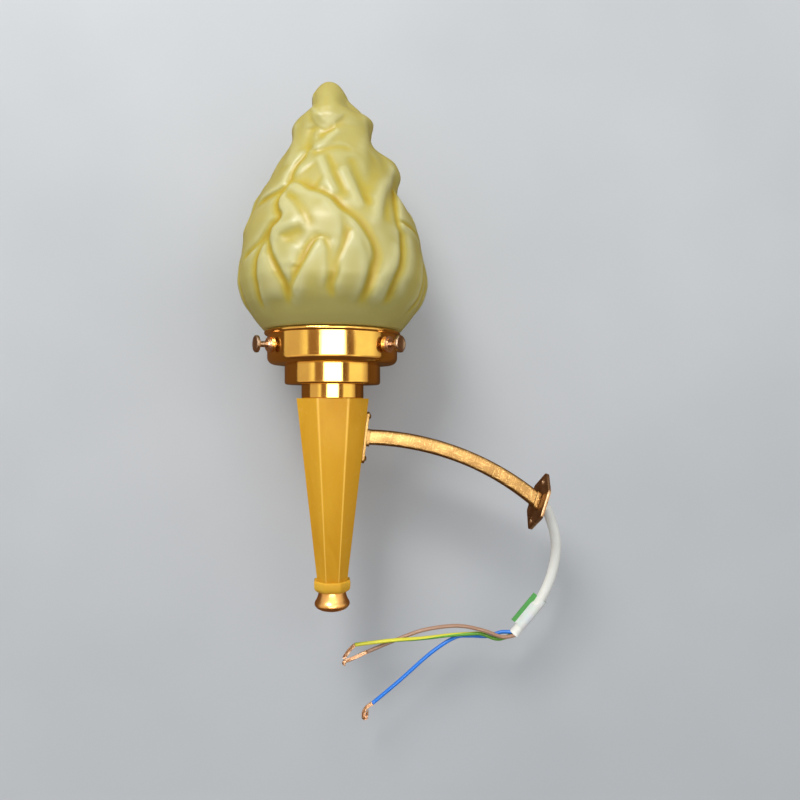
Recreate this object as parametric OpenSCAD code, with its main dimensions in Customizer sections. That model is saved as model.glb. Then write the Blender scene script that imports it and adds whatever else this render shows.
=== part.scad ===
// Torch wall light: a flame-shaped glass shade in a stepped brass gallery, on a tapered
// eight-sided handle held out from the wall by a curved arm. Millimetres, +Z up.
// The origin is the middle of the wall plate's back, +Y goes into the wall, and the torch
// leans out from the wall by torch_lean.

/* [Wall plate] */
// Height of the wall plate
plate_h = 39; // [36:1:48]
// Width of the wall plate
plate_w = 31; // [28:1:40]
// Thickness of the wall plate
plate_t = 2; // [1.5:0.5:3]
// Length of the straight side edges of the wall plate
plate_side = 18; // [14:1:22]
// Rounding of the wall plate's corners
plate_round = 3.5; // [2:0.5:4]
// Distance between the two wall screw holes
hole_gap = 27.6; // [26:0.2:29]
// Diameter of the wall screw holes
hole_d = 4.4; // [3.6:0.2:5]

/* [Arm] */
// Radius of the arm's curve along its middle
arm_r = 188; // [170:1:220]
// Angle between the arm's start and square to the torch
arm_start = 2; // [0:0.5:5]
// Angle between the arm's end and square to the torch
arm_end = 40; // [34:1:44]
// Height of the arm's section
arm_h = 10; // [9:0.5:12]
// Depth of the arm's section
arm_d = 11; // [10:0.5:13]
// Wall thickness of the arm's tube
arm_wall = 1.2; // [0.8:0.1:1.4]
// Rounding of the arm's edges
arm_round = 2; // [1.5:0.1:3]
// How far the ferrule stands out around the arm
ferrule_lip = 0.7; // [0.5:0.1:1.6]
// Thickness of the ferrule on the wall plate
ferrule_t = 3.5; // [2:0.5:5]

/* [Bracket] */
// Distance of the bracket's middle below the handle's top
bracket_drop = 25.5; // [22:0.5:34]
// Height of the bracket strip
bracket_h = 34; // [30:1:40]
// Width of the bracket strip
bracket_w = 13; // [12.5:0.5:15]
// Thickness of the bracket strip
bracket_t = 2; // [1.5:0.5:3]
// How far the arm foot stands out around the arm
foot_lip = 0.7; // [0.5:0.1:1.2]
// Thickness of the arm foot
foot_t = 2; // [1.5:0.5:3]
// Distance between the two bracket screws
bracket_screw_gap = 28; // [25:1:29]
// Diameter of the bracket screws' heads
bracket_head_d = 4.6; // [4:0.2:6]
// Diameter of the bracket screws' shanks
bracket_shank_d = 2.4; // [2:0.1:3]
// Length of the bracket screws' shanks under the head
bracket_shank_l = 13; // [9:1:14]

/* [Handle] */
// How far the torch leans out from the wall at its top, in degrees
torch_lean = 18; // [10:1:25]
// Length of the handle
handle_l = 119; // [100:1:140]
// Width of the handle across its flats at the top
handle_top = 46.3; // [44:0.1:50]
// Width of the handle across its flats at the bottom
handle_foot = 19.6; // [18:0.1:24]
// Width of the four main faces at the top
face_top = 21.4; // [18:0.1:22]
// Width of the four main faces at the bottom
face_foot = 8.6; // [7:0.1:9.2]
// Height of the foot collar
collar_h = 7.4; // [5:0.2:10]
// Width of the foot collar across its flats, at its widest
collar_top = 23.6; // [22:0.2:26]
// Width of the foot collar across its flats, at its bottom
collar_foot = 18.6; // [17:0.2:20]
// Height of the finial knob
knob_h = 13; // [11:0.5:16]
// Diameter of the finial knob at its widest
knob_d = 23; // [21:0.5:28]
// Diameter of the finial knob at its top
knob_neck = 17.6; // [16:0.2:18.2]

/* [Gallery] */
// Diameter of the gallery cup
cup_d = 85; // [82:0.5:90]
// Height of the gallery cup, with its rim
cup_h = 21.7; // [20:0.1:26]
// Diameter of the rolled bead along the rim
bead_d = 2.7; // [2:0.1:3.4]
// Rounding of the gallery cup's lower edge
cup_round = 4.5; // [3:0.5:6]
// Diameter of the middle tier
step_d = 62.5; // [58:0.5:66]
// Height of the middle tier
step_h = 13; // [10:0.5:16]
// Diameter of the neck tier
neck_d = 40.6; // [36:0.2:44]
// Height of the neck tier
neck_h = 9; // [7:0.5:12]
// Thickness of the gallery's brass
brass_t = 1.2; // [1:0.1:1.6]

/* [Thumbscrews] */
// Turn of the ring of thumbscrews about the torch, in degrees
screw_turn = -7; // [-30:1:20]
// Height of the thumbscrews above the gallery cup's floor
screw_up = 10.6; // [9.5:0.1:12]
// Diameter of the thumbscrews' shanks
screw_d = 3.8; // [3:0.1:4.2]
// Thread pitch of the thumbscrews
screw_pitch = 0.7; // [0.5:0.1:0.8]
// Diameter of the bosses
boss_d = 10.4; // [9:0.2:10.6]
// How far the bosses stand out
boss_l = 2.6; // [2.2:0.1:5]
// Diameter of the thumbscrews' heads
head_d = 10.8; // [9:0.2:13]
// Thickness of the thumbscrews' heads
head_t = 2.3; // [1.8:0.1:3]
// Gap between a boss and its thumbscrew head when tight
head_gap = 5.4; // [2:0.1:6.4]
// Clearance around each shank in its boss
screw_fit = 0.08; // [0.05:0.01:0.1]

/* [Shade] */
// Height of the flame above the gallery's rim
flame_h = 165; // [150:1:180]
// Width of the flame at its widest
flame_w = 125; // [118:1:132]
// Wall thickness of the glass
glass_t = 3; // [2.4:0.1:3.4]
// Outer diameter of the glass neck inside the gallery
glass_neck = 76; // [74:0.5:77]
// Outer diameter of the lip at the end of the glass neck
glass_lip = 80.4; // [79:0.1:80.6]
// Height of that lip
lip_h = 4; // [3:0.5:5]
// Turn of the shade about the torch, in degrees
flame_turn = 0; // [-20:1:20]

/* [Lampholder] */
// Inner diameter of the lampholder's screw shell
shell_d = 26.4; // [26:0.1:27]
// Length of the screw shell
shell_l = 20; // [16:1:22]
// Diameter of the lampholder's skirt
skirt_d = 40; // [38:0.5:42]
// Length of the lampholder's skirt
skirt_l = 34; // [32:1:38]
// Height of the lampholder's cap
cap_h = 18; // [15:1:22]
// Diameter of the centre tube
tube_d = 9.8; // [9.4:0.1:10]
// Bore of the centre tube
tube_bore = 7.4; // [7:0.1:7.6]

/* [Lead] */
// Diameter of the mains lead
lead_d = 6.8; // [6:0.1:7.2]
// Diameter of each core
core_d = 2.6; // [2.2:0.1:2.8]
// Diameter of the bare copper in each core
wire_d = 1.8; // [1:0.1:2]
// Length of the label along the lead
label_l = 25; // [18:1:28]
// Width of the label's flag
label_w = 4.6; // [4:0.2:12]

/* [Hidden] */
$fn = 64;
seat = 0.05;       // gap between pieces that sit on each other
loose = 0.3;       // gap around pieces that only pass through
over = 1;          // how far a cutting shape runs past the face it cuts

// where the arm starts and ends in the torch's own frame, [out to the wall, up the torch]
face_slope = atan2((handle_top - handle_foot) / 2, handle_l);
face_at = handle_top / 2 - bracket_drop * tan(face_slope);
arm_root = [face_at + bracket_t + foot_t, -bracket_drop];
arm_centre = arm_root - arm_r * [sin(arm_start), cos(arm_start)];
arm_tip = arm_centre + arm_r * [sin(arm_end), cos(arm_end)];
arm_past = 4;      // extra arc at each end, cut off at the faces it meets
past_angle = arm_past / arm_r * 180 / PI;
// the torch's origin in the wall frame, [toward the wall, up]
torch_at = [-plate_t, 0]
  - [arm_tip[0] * cos(torch_lean) - arm_tip[1] * sin(torch_lean),
     arm_tip[0] * sin(torch_lean) + arm_tip[1] * cos(torch_lean)];
exit_angle = arm_end - torch_lean;

// heights up the torch, from the handle's top
step_z = neck_h;
cup_z = step_z + step_h;
rim_z = cup_z + cup_h;
cup_floor = cup_z + brass_t;
screw_z = cup_floor + screw_up;
tag_t = 0.8;
washer_t = 1.2;
nut_h = 4;
nut_flat = 14;
washer_d = 24;
tag_z = cup_floor + seat;
washer_z = tag_z + tag_t + seat;
nut_z = washer_z + washer_t + seat;
cap_z = nut_z + nut_h + seat;
skirt_z = cap_z + cap_h + seat;
skirt_t = 1.6;
tube_grip = 8;     // length of the centre tube inside the cap and inside the knob
tube_top = cap_z + 1.6 + tube_grip;
collar_z = -handle_l - seat - collar_h;
knob_z = collar_z - seat - knob_h;
tube_foot = collar_z - tube_grip;
lead_side = tube_d / 2 + loose;   // where the lead stops beside the centre tube

// thumbscrews: distances from the torch's axis
boss_out = cup_d / 2 + boss_l;
head_in = boss_out + head_gap;
shank_in = glass_neck / 2 + loose;
screw_travel = glass_lip / 2 - glass_neck / 2 + 1.3;

core_angle = 120;
core_out = tube_bore / 2 - core_d / 2 - 0.2;

// ---- placing ----
module at_torch() translate([0, torch_at[0], torch_at[1]]) rotate([torch_lean, 0, 0]) children();
// the middle of the handle face that carries the bracket: +Y out of the face
module at_face() at_torch() translate([0, face_at, -bracket_drop]) rotate([-face_slope, 0, 0]) children();
module at_screw(turn) at_torch() rotate([0, 0, screw_turn + turn]) translate([0, 0, screw_z])
  rotate([0, 90, 0]) children();

// ---- shared shapes ----
// outline with rounded corners: for each corner, an arc that touches both edges
function corner_arc(a, b, c, r, n) =
  let (u = (a - b) / norm(a - b), v = (c - b) / norm(c - b), half = acos(u * v) / 2,
       m = (u + v) / norm(u + v), o = b + m * r / sin(half),
       s = b + u * r / tan(half) - o, e = b + v * r / tan(half) - o,
       a0 = atan2(s[1], s[0]), da = atan2(s[0] * e[1] - s[1] * e[0], s * e))
  [for (i = [0 : n]) o + r * [cos(a0 + da * i / n), sin(a0 + da * i / n)]];
function rounded(p, r, n = 5) =
  let (k = len(p))
  [for (i = [0 : k - 1]) each corner_arc(p[(i + k - 1) % k], p[i], p[(i + 1) % k], r, n)];
function box_outline(w, h) = [[-w / 2, -h / 2], [w / 2, -h / 2], [w / 2, h / 2], [-w / 2, h / 2]];

// the arm's sweep: a section drawn around (0, 0) is carried along the arm's arc
module along_arm(from, to)
  at_torch() translate([0, arm_centre[0], arm_centre[1]]) rotate([90, 0, 90]) rotate([0, 0, 90 - to])
  rotate_extrude(angle = to - from, $fn = 180) translate([arm_r, 0]) children();
function on_arm(a) = let (v = arm_centre[0] + arm_r * sin(a), w = arm_centre[1] + arm_r * cos(a))
  [0, torch_at[0] + v * cos(torch_lean) - w * sin(torch_lean), torch_at[1] + v * sin(torch_lean) + w * cos(torch_lean)];

// round tube along a list of points, closed at both ends
function unit(v) = v / norm(v);
function tangent(p, i) =
  unit(i == 0 ? p[1] - p[0] : i == len(p) - 1 ? p[i] - p[i - 1] : unit(p[i + 1] - p[i]) + unit(p[i] - p[i - 1]));
function carried(u, t) = unit(u - (u * t) * t);
function frames(p, i = 0, u = [1, 0, 0]) =
  i == len(p) ? [] : let (w = carried(u, tangent(p, i))) concat([w], frames(p, i + 1, w));
module tube_along(p, d, sides) {
  n = len(p);
  f = frames(p);
  pts = [for (i = [0 : n - 1]) let (t = tangent(p, i), v = cross(t, f[i]))
    for (k = [0 : sides - 1]) p[i] + d / 2 * (cos(360 * k / sides) * f[i] + sin(360 * k / sides) * v)];
  polyhedron(pts, concat(
    [[for (k = [0 : sides - 1]) k]],
    [for (i = [0 : n - 2]) for (k = [0 : sides - 1]) let (j = (k + 1) % sides)
      [i * sides + k, (i + 1) * sides + k, (i + 1) * sides + j, i * sides + j]],
    [[for (k = [sides - 1 : -1 : 0]) (n - 1) * sides + k]]), convexity = 6);
}
// smooth curve through chosen points, n pieces between each two
function mix(p, i, t) =
  let (a = p[max(i - 1, 0)], b = p[i], c = p[i + 1], e = p[min(i + 2, len(p) - 1)])
  0.5 * (2 * b + (c - a) * t + (2 * a - 5 * b + 4 * c - e) * t * t + (3 * b - a - 3 * c + e) * t * t * t);
function curve(p, n) = concat([for (i = [0 : len(p) - 2]) for (k = [0 : n - 1]) mix(p, i, k / n)], [p[len(p) - 1]]);

// ---- the lead's route, chosen points in the wall frame ----
lead_out = (plate_t + 3) / arm_r * 180 / PI;   // arc of the lead past the plate's front
lead_from = on_arm(arm_end + lead_out);
lead_ahead = [0, cos(exit_angle + lead_out), -sin(exit_angle + lead_out)];
lead_route = [lead_from + seat * lead_ahead, lead_from + 4 * lead_ahead, [-4, 13, -10.5], [-8, 20, -19], [-12, 25.5, -29.5],
  [-16, 29, -43], [-20, 30, -58], [-23, 27, -75.5], [-25.5, 19.4, -96]];
label_up = 7;     // from the end of the sheath up to the label
lead_end = lead_route[len(lead_route) - 1];
lead_dir = unit(lead_route[len(lead_route) - 1] - lead_route[len(lead_route) - 2]);
lead_side_dir = unit(cross(lead_dir, [1, 0, 0]));
// where a core leaves the sheath: k is its place around the sheath's middle
function core_from(k) = lead_end + 1.8 * (cos(k) * cross(lead_dir, lead_side_dir) + sin(k) * lead_side_dir);
brown_route = [core_from(210), [-23, 11, -100], [-22.5, -4, -99.3], [-23.5, -22, -101.6], [-25, -42, -110.5],
  [-27, -57, -121.6], [-27, -77, -137.6]];
brown_bare = [[-27, -77, -137.6], [-27, -83, -142.8], [-27, -87, -146], [-26.5, -89.5, -147.5]];
blue_route = [core_from(90), [-28, 11, -98.2], [-29.5, 3, -104], [-29, -10, -107.3], [-28.6, -20, -111.4],
  [-28, -33, -126], [-28, -49, -151.5], [-28, -62, -171]];
blue_bare = [[-28, -62, -171], [-28, -65.2, -175], [-28, -66, -179], [-28, -64.7, -182.5]];
earth_route = [core_from(330), [-26.3, 10, -103], [-26, -3, -102.8], [-26.2, -11, -105.2], [-26, -24, -109.8],
  [-24.5, -44, -117.5], [-24, -64, -124.6], [-25, -87, -134.6]];
earth_bare = [[-25, -87, -134.6], [-25.5, -89.6, -139.5], [-26, -91, -144]];

// ---- the flame ----
// The shapes below are drawn for a flame of 165 by 125 and follow flame_h and flame_w.
// Angles go around the torch, 0 towards +X, and heights go up from the gallery's rim.
// height and reach of the body
core_line = [
  [0, 45.3], [5, 49.5], [10, 53], [16, 57], [22, 59.4], [30, 61], [40, 60.2], [52, 58.4], [61, 57],
  [68, 54.3], [74, 51.3], [80, 48], [86, 45], [92, 42], [98, 39], [104, 36], [110, 33], [116, 30],
  [121, 27.8], [126, 25.8], [132, 23.4], [138, 19.5], [143, 15], [148, 12.4], [153, 11.7], [158, 9.6],
  [162, 6.2], [164, 3.4], [165, 0.3]];
// swellings that give the outline its shoulders and curls: [angle, height, half width, half height, rise]
swells = [
  [-85, 134, 13, 7, 4.5], [-95, 88, 16, 9, 4.2], [-95, 72, 16, 12, 1.5], [85, 134, 15, 10, 4.8],
  [85, 142, 12, 5, 5.5], [92, 110, 12, 7, 11.5], [90, 99, 12, 8, 4.5], [95, 76, 12, 5, 5],
  [80, 28, 20, 16, 1.2], [-5, 141, 10, 9, 4], [40, 131, 10, 10, 2]];
// edges where one leaf lies over the next: [side the leaf is on, depth of the groove, rise of the lip,
// breadth, [[angle, height], ...]]
leaf_edges = [
  [1, 2.2, 1, 1.6, [[-39, 136], [-29, 129], [-19, 124], [-4, 125], [9, 129], [21, 134], [33, 140]]],
  [1, 1.2, 0.2, 1.3, [[-24, 107], [-15, 109], [-3, 110], [10, 112], [21, 110]]],
  [-1, 1.6, 0.8, 1.3, [[-28, 112], [-32, 104], [-37, 99], [-39, 93], [-39, 86], [-45, 82], [-54, 80],
    [-65, 79], [-75, 77]]],
  [-1, 1.9, 0.7, 1.7, [[-41, 89], [-27, 86], [-17, 81], [-8, 78], [-1, 74], [5, 68], [11, 63], [16, 58],
    [20, 52], [23, 46], [24, 40], [22, 31], [20, 22], [17, 14], [14, 9]]],
  [-1, 0.7, 0.5, 1.5, [[-2, 75], [2, 69], [5, 62], [6, 55], [6, 47]]],
  [1, 1.3, 0.5, 1, [[10, 56], [8, 49], [5, 42], [2, 34], [1, 27], [-1, 20], [0, 13]]],
  [-1, 0.6, 0.3, 1, [[10, 55], [14, 51], [17, 45], [19, 38], [19, 29], [18, 21], [16, 14]]],
  [1, 1.7, 0.8, 1, [[-7, 50], [-11, 46], [-14, 41], [-17, 35], [-20, 29], [-23, 23], [-25, 18], [-24, 13]]],
  [-1, 1, 0.4, 1.1, [[-8, 50], [-5, 46], [-3, 40], [-3, 33], [-3, 26], [-5, 18]]],
  [1, 1.9, 0.9, 1.1, [[-36, 81], [-41, 80], [-41, 75], [-38, 68], [-34, 63], [-36, 60], [-40, 57],
    [-41, 51], [-39, 44], [-35, 36], [-31, 29], [-28, 22], [-28, 16], [-29, 9]]],
  [-1, 0.8, 0.4, 1.3, [[-38, 81], [-31, 76], [-24, 70], [-19, 64], [-16, 59], [-14, 53]]],
  [1, 1.4, 0.3, 0.9, [[-42, 56], [-49, 49], [-57, 45], [-68, 41]]],
  [1, 1.6, 0.6, 1.2, [[-42, 53], [-46, 47], [-49, 41], [-50, 34], [-50, 25], [-51, 17], [-53, 9]]],
  [-1, 1.7, 0.5, 1.5, [[45, 61], [45, 52], [43, 43], [41, 35], [37, 27], [35, 19], [33, 11]]],
  [-1, 1.6, 0.6, 0.9, [[46, 65], [52, 63], [60, 62], [67, 59], [73, 55]]],
  [1, 2, 0.4, 1.2, [[65, 88], [55, 79], [48, 71], [45, 64], [44, 57]]],
  [-1, 1.3, 0.5, 0.9, [[80, 48], [71, 37], [67, 28], [67, 19], [63, 13], [61, 7]]]];
// soft folds and hollows: [rise, half width, [[angle, height], ...]]
leaf_folds = [
  [-1.3, 4, [[-7, 149], [-7, 143], [-7, 135]]],
  [2.2, 6, [[-57, 133], [-64, 128], [-59, 120], [-49, 109], [-48, 99]]],
  [-2, 6, [[-33, 127], [-32, 118], [-30, 108]]],
  [2.4, 3.4, [[-22, 109], [-12, 113], [-3, 119], [7, 125]]],
  [-1.2, 4, [[-20, 118], [-10, 122], [3, 125]]],
  [1.4, 5, [[49, 140], [50, 133], [49, 126], [40, 117], [27, 108]]],
  [-1, 7, [[23, 130], [21, 121], [16, 112]]],
  [1.5, 3.2, [[-15, 105], [-8, 95], [-4, 86], [1, 76]]],
  [1.7, 3.6, [[6, 97], [11, 87], [15, 77], [18, 68]]],
  [-1.2, 7, [[-27, 96], [-19, 89], [-10, 83]]],
  [-1.1, 4, [[-6, 107], [0, 95], [5, 84], [9, 73]]],
  [-1.2, 4.5, [[16, 105], [20, 94], [22, 83], [23, 69]]],
  [2.2, 4.2, [[75, 110], [64, 98], [42, 86], [34, 78], [28, 68], [24, 57]]],
  [-1.4, 4, [[80, 96], [53, 83], [39, 71], [34, 60]]],
  [-1, 6, [[50, 110], [40, 99], [31, 88], [27, 78]]],
  [1.3, 3.4, [[-38, 49], [-34, 54], [-28, 56], [-20, 60]]],
  [-0.9, 4.5, [[-29, 46], [-24, 50], [-18, 53]]],
  [0.9, 6, [[-21, 45], [-24, 38], [-24, 31]]],
  [1, 5, [[41, 48], [37, 39], [32, 31], [28, 24], [26, 17], [22, 11]]],
  [0.7, 4, [[2, 48], [0, 40], [-2, 29], [-3, 18]]],
  [1, 7, [[49, 56], [54, 48], [50, 37], [43, 26], [40, 17]]],
  [0.9, 7, [[-42, 42], [-40, 31], [-38, 22], [-38, 13]]]];
// the back half of the mould mirrors the front
all_edges = concat(leaf_edges, [for (g = leaf_edges) [-g[0], g[1], g[2], g[3], [for (p = g[4]) [180 - p[0], p[1]]]]]);
all_folds = concat(leaf_folds, [for (g = leaf_folds) [g[0], g[1], [for (p = g[2]) [180 - p[0], p[1]]]]]);
groove_side = 3.6;   // how far a groove spreads outside its leaf
lip_in = 2.6;        // from the edge in to the top of the lip
lip_side = 8;        // how far the lip fades across the leaf
high = flame_h / 165;
wide = flame_w / 125;
function wrap(a) = a - 360 * floor((a + 180) / 360);
function share(t) = max(0, min(1, t));
function ease(t) = t * t * (3 - 2 * t);
function sum(v, i = 0) = i == len(v) ? 0 : v[i] + sum(v, i + 1);
function bell(t) = exp(-t * t);
// nearest place on a line: [distance, side, share of the way along], k turns degrees into lengths
function on_line(p, a, h, k) =
  let (n = len(p) - 1,
       near = [for (i = [0 : n - 1]) let (x = wrap(a - p[i][0]) * k, y = h - p[i][1],
         dx = (p[i + 1][0] - p[i][0]) * k, dy = p[i + 1][1] - p[i][1],
         s = share((x * dx + y * dy) / (dx * dx + dy * dy)))
         [norm([x - s * dx, y - s * dy]), sign(dx * y - dy * x), (i + s) / n]],
       d = min([for (b = near) b[0]]))
  [for (b = near) if (b[0] == d) b][0];
function faded(t) = pow(share(t / 0.12) * share((1 - t) / 0.16), 0.7);
// rise across an edge at distance d, in the leaf or outside it
function edge_rise(g, inside, d) =
  !inside ? -g[1] * bell(d / groove_side) :
  d < lip_in ? -g[1] + (g[1] + g[2]) * ease(d / lip_in) : g[2] * bell((d - lip_in) / lip_side);
function swollen(a, h) = lookup(h, core_line) + sum([for (s = swells)
  let (x = wrap(a - s[0]) * PI / 180 * lookup(s[1], core_line), y = h - s[1]) s[4] * bell(norm([x / s[2], y / s[3]]))]);
function passes(p, h) = min([for (q = p) q[1]]) < h + 16 && max([for (q = p) q[1]]) > h - 16;
// one ring of the outside, h as the height on the flame as drawn
function flame_ring(h) =
  let (edges = [for (g = all_edges) if (passes(g[4], h)) g], folds = [for (g = all_folds) if (passes(g[2], h)) g],
       clear = ease(share((h - 4) / 18)), lean = ease(share((h - 122) / 34)))
  [for (i = [0 : flame_sides - 1]) let (a = 360 * i / flame_sides, body = swollen(a, h),
     k = body * PI / 180, size = max(0.45, min(1, body / 42)),
     cut = sum([for (g = edges) let (at = on_line(g[4], a, h, k))
       edge_rise(g, at[1] * g[0] > 0, at[0] / size / g[3]) * faded(at[2])]),
     fold = sum([for (g = folds) let (at = on_line(g[2], a, h, k)) g[0] * bell(at[0] / size / g[1]) * faded(at[2])]),
     out = (body + (cut + fold) * size * clear) * wide)
    [out * cos(a), out * sin(a) - 2.2 * wide * lean, flame_foot + h * high]];
flame_sides = 80;
flame_rings = [for (i = [0 : 57]) i < 5 ? i * 2.4 : 12 + (i - 5) * 2.9];
cavity_rings = [for (i = [1 : 14]) i * 10.5];
glass_foot = cup_floor + loose;
lip_edge = max(cup_round - brass_t, 0.3);   // the lip's edge clears the cup's rounded corner
neck_top = rim_z - 1.4;
flame_foot = rim_z + 0.9;    // where the flame's outline starts, just over the bead
rim_clear = bead_d / 2 + loose;

module ring_stack(rings, tip) {
  n = len(rings[0]);
  m = len(rings);
  polyhedron(concat([for (r = rings) each r], [tip]), concat(
    [[for (k = [0 : n - 1]) k]],
    [for (i = [0 : m - 2]) for (k = [0 : n - 1]) let (j = (k + 1) % n) each
      [[i * n + k, (i + 1) * n + k, (i + 1) * n + j], [i * n + k, (i + 1) * n + j, i * n + j]]],
    [for (k = [0 : n - 1]) [(m - 1) * n + k, m * n, (m - 1) * n + (k + 1) % n]]), convexity = 10);
}

// ---- pieces ----
module wall_plate() color("#5a4132") difference() {
  rotate([90, 0, 0]) linear_extrude(plate_t)
    polygon(rounded([[plate_w / 2, -plate_side / 2], [plate_w / 2, plate_side / 2], [0, plate_h / 2 + 0.3 * plate_round],
      [-plate_w / 2, plate_side / 2], [-plate_w / 2, -plate_side / 2], [0, -plate_h / 2 - 0.3 * plate_round]],
      plate_round, 6));
  for (s = [-1, 1]) translate([0, over, s * hole_gap / 2]) rotate([90, 0, 0])
    cylinder(d = hole_d, h = plate_t + 2 * over);
  translate([0, -plate_t, 0]) rotate([-exit_angle, 0, 0]) rotate([90, 0, 0])
    cylinder(d = lead_d + 2 * loose, h = 20, center = true);
}

module plate_ferrule() color("#b48246") difference() {
  intersection() {
    along_arm(arm_end - 3, arm_end + 3)
      polygon(rounded(box_outline(arm_h + 2 * ferrule_lip, arm_d + 2 * ferrule_lip), arm_round));
    translate([-25, -plate_t - seat - ferrule_t, -25]) cube([50, ferrule_t, 50]);
  }
  along_arm(arm_end - 4, arm_end + 4) polygon(rounded(box_outline(arm_h + 2 * seat, arm_d + 2 * seat), arm_round));
}

module arm_tube() color("#b48246") difference() {
  along_arm(arm_start - past_angle, arm_end + past_angle)
    polygon(rounded(box_outline(arm_h, arm_d), arm_round));
  along_arm(arm_start - 2 * past_angle, arm_end + 2 * past_angle)
    polygon(rounded(box_outline(arm_h - 2 * arm_wall, arm_d - 2 * arm_wall), arm_round - arm_wall));
  translate([-25, -plate_t - seat, -25]) cube(50);
  at_face() translate([-25, bracket_t + foot_t + 2 * seat - 50, -25]) cube(50);
}

module arm_lead() color("#ebebe1")
  along_arm(arm_start - (arm_root[0] - lead_side) / arm_r * 180 / PI, arm_end + lead_out)
    circle(d = lead_d, $fn = 48);

module arm_bracket() color("#a87a44") at_face() difference() {
  union() {
    translate([0, seat + bracket_t, 0]) rotate([90, 0, 0]) linear_extrude(bracket_t)
      polygon(rounded(box_outline(bracket_w, bracket_h), 2.5));
    translate([0, seat + bracket_t + foot_t, 0]) rotate([90, 0, 0]) linear_extrude(foot_t + 0.2)
      polygon(rounded(box_outline(arm_d + 2 * foot_lip, arm_h + 2 * foot_lip), arm_round));
  }
  rotate([90, 0, 0]) cylinder(d = lead_d + 4 * loose, h = 30, center = true);
  for (s = [-1, 1]) translate([0, 0, s * bracket_screw_gap / 2]) rotate([90, 0, 0])
    cylinder(d = bracket_shank_d + 2 * seat, h = 30, center = true);
}

module bracket_screws() color("#96713f") at_face()
  for (s = [-1, 1]) translate([0, bracket_t + 2 * seat, s * bracket_screw_gap / 2]) rotate([-90, 0, 0]) {
    head_h = 0.34 * bracket_head_d;
    ball = (bracket_head_d * bracket_head_d / 4 + head_h * head_h) / (2 * head_h);
    intersection() {
      translate([0, 0, head_h - ball]) sphere(r = ball);
      cylinder(d = bracket_head_d + over, h = head_h + over);
    }
    translate([0, 0, -bracket_shank_l]) cylinder(d = bracket_shank_d, h = bracket_shank_l + 0.3);
  }

function eight_sides(flat, face, z) = let (a = flat / 2, f = face / 2)
  [[a, -f, z], [a, f, z], [f, a, z], [-f, a, z], [-a, f, z], [-a, -f, z], [-f, -a, z], [f, -a, z]];
// rings of eight sides on each other: [width across the flats, width of a main face, height]
module eight_stack(rings) {
  m = len(rings);
  polyhedron([for (r = rings) each eight_sides(r[0], r[1], r[2])], concat(
    [[for (k = [0 : 7]) k]],
    [for (i = [0 : m - 2]) for (k = [0 : 7]) let (j = (k + 1) % 8) [8 * i + k, 8 * i + k + 8, 8 * i + j + 8, 8 * i + j]],
    [[for (k = [7 : -1 : 0]) 8 * (m - 1) + k]]));
}
module torch_handle() color("#dcab38") at_torch() difference() {
  eight_stack([[handle_foot, face_foot, -handle_l], [handle_top, face_top, -seat]]);
  translate([0, 0, -handle_l - over]) cylinder(d = tube_d + 2 * loose, h = handle_l + 2 * over);
  translate([0, 0, -bracket_drop]) rotate([-90, 0, 0]) cylinder(d = lead_d + 4 * loose, h = 40);
  translate([0, face_at, -bracket_drop]) rotate([-face_slope, 0, 0])
    for (s = [-1, 1]) translate([0, bracket_t - bracket_shank_l - 0.2, s * bracket_screw_gap / 2]) rotate([-90, 0, 0])
      cylinder(d = bracket_shank_d + 2 * seat, h = bracket_shank_l + 2);
}

module foot_collar() color("#e0b13e") at_torch() translate([0, 0, collar_z]) difference() {
  eight_stack([for (p = [[0, 0], [0.06, 0.15], [0.14, 0.5], [0.25, 0.8], [0.4, 0.95], [0.6, 1], [0.86, 1], [0.95, 0.95], [1, 0.8]])
    let (flat = collar_foot + (collar_top - collar_foot) * p[1]) [flat, flat * face_foot / handle_foot, collar_h * p[0]]]);
  translate([0, 0, -over]) cylinder(d = tube_d + 2 * loose, h = collar_h + 2 * over);
}

module finial_knob() color("#c8823a") at_torch() translate([0, 0, knob_z]) difference() {
  rotate_extrude() polygon(concat([for (p = curve([[0, 0], [0.45 * knob_d / 2, 0.04 * knob_h], [0.8 * knob_d / 2, 0.14 * knob_h],
    [0.97 * knob_d / 2, 0.28 * knob_h], [knob_d / 2, 0.38 * knob_h], [0.98 * knob_d / 2, 0.47 * knob_h],
    [0.5 * knob_neck / 2 + 0.5 * knob_d / 2, 0.62 * knob_h], [1.04 * knob_neck / 2, 0.85 * knob_h],
    [knob_neck / 2, knob_h]], 4)) [max(p[0], 0), max(p[1], 0)]], [[0, knob_h]]));
  translate([0, 0, knob_h - tube_grip - seat]) cylinder(d = tube_d + 2 * seat, h = tube_grip + seat + over);
}

module centre_tube() color("#9b9488") at_torch() difference() {
  translate([0, 0, tube_foot]) cylinder(d = tube_d, h = tube_top - tube_foot);
  translate([0, 0, tube_foot - over]) cylinder(d = tube_bore, h = tube_top - tube_foot + 2 * over);
  translate([0, 0, -bracket_drop]) rotate([-90, 0, 0]) cylinder(d = lead_d + 0.4, h = tube_d);
}

// one tier of the gallery: an open cup with a holed floor and a rounded lower edge
module tier(d, h, round) difference() {
  rotate_extrude() polygon(concat([[0, 0]], corner_arc([0, 0], [d / 2, 0], [d / 2, h], round, 8), [[d / 2, h], [d / 2 - brass_t, h]],
    corner_arc([d / 2 - brass_t, h], [d / 2 - brass_t, brass_t], [0, brass_t], max(round - brass_t, 0.3), 8), [[0, brass_t]]));
  translate([0, 0, -over]) cylinder(d = tube_d + 2 * loose, h = brass_t + 2 * over);
}

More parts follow.
